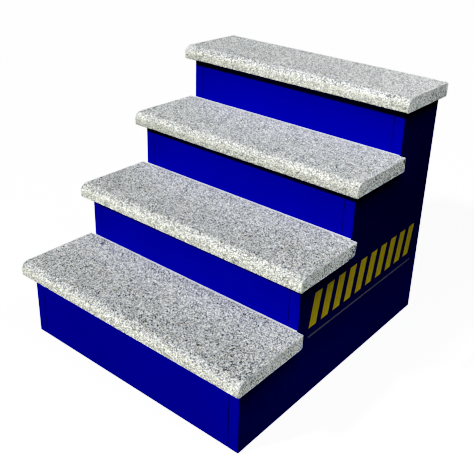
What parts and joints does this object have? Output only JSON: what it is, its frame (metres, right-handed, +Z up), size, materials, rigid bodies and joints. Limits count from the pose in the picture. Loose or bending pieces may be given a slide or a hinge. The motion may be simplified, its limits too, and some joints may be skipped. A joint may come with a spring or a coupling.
{
  "type": "horse mounting block",
  "caption": "Stepped mounting block with granite bullnose treads on a closed, painted box base over a welded tube frame.",
  "frame": {"origin": "on the floor under the middle of the block's outline, measured over the treads", "axes": "+X to the right of someone facing the steps, +Y from the lowest step towards the highest, +Z up"},
  "size_m": [0.958, 1.077, 0.895],
  "materials": {
    "granite": "flamed",
    "blue_panel": "gloss",
    "blue_trim": "gloss",
    "frame_tube": "mill",
    "fastener_steel": "satin",
    "foot_rubber": "matte",
    "bedding_rubber": "matte",
    "sealant": "matte",
    "yellow_vinyl": "satin",
    "grey_vinyl": "satin"
  },
  "bodies": {
    "root": {"back_rail_1": "frame_tube", "back_rail_2": "frame_tube", "back_rail_3": "frame_tube", "back_rail_4": "frame_tube", "base_rail_front": "frame_tube", "base_rail_left": "frame_tube", "base_rail_rear": "frame_tube", "base_rail_right": "frame_tube", "bedding_strips": "bedding_rubber", "corner_trim_1_left": "blue_trim", "corner_trim_1_right": "blue_trim", "corner_trim_2_left": "blue_trim", "corner_trim_2_right": "blue_trim", "corner_trim_3_left": "blue_trim", "corner_trim_3_right": "blue_trim", "corner_trim_4_left": "blue_trim", "corner_trim_4_right": "blue_trim", "foot_pads": "foot_rubber", "nose_rail_1": "frame_tube", "nose_rail_2": "frame_tube", "nose_rail_3": "frame_tube", "nose_rail_4": "frame_tube", "post_1_left": "frame_tube", "post_1_right": "frame_tube", "post_2_left": "frame_tube", "post_2_right": "frame_tube", "post_3_left": "frame_tube", "post_3_right": "frame_tube", "post_4_left": "frame_tube", "post_4_right": "frame_tube", "rear_corner_trim_left": "blue_trim", "rear_corner_trim_right": "blue_trim", "rear_panel": "blue_panel", "rear_panel_screws": "fastener_steel", "rear_post_left": "frame_tube", "rear_post_right": "frame_tube", "riser_panel_1": "blue_panel", "riser_panel_2": "blue_panel", "riser_panel_3": "blue_panel", "riser_panel_4": "blue_panel", "sealant_beads": "sealant", "side_bars_decal": "yellow_vinyl", "side_line_decal": "grey_vinyl", "side_panel_left": "blue_panel", "side_panel_right": "blue_panel", "tread_1": "granite", "tread_2": "granite", "tread_3": "granite", "tread_4": "granite", "tread_bearer_1_left": "frame_tube", "tread_bearer_1_right": "frame_tube", "tread_bearer_2_left": "frame_tube", "tread_bearer_2_right": "frame_tube", "tread_bearer_3_left": "frame_tube", "tread_bearer_3_right": "frame_tube", "tread_bearer_4_left": "frame_tube", "tread_bearer_4_right": "frame_tube", "tread_bolts": "fastener_steel", "tread_inserts": "fastener_steel"}
  },
  "joints": []
}
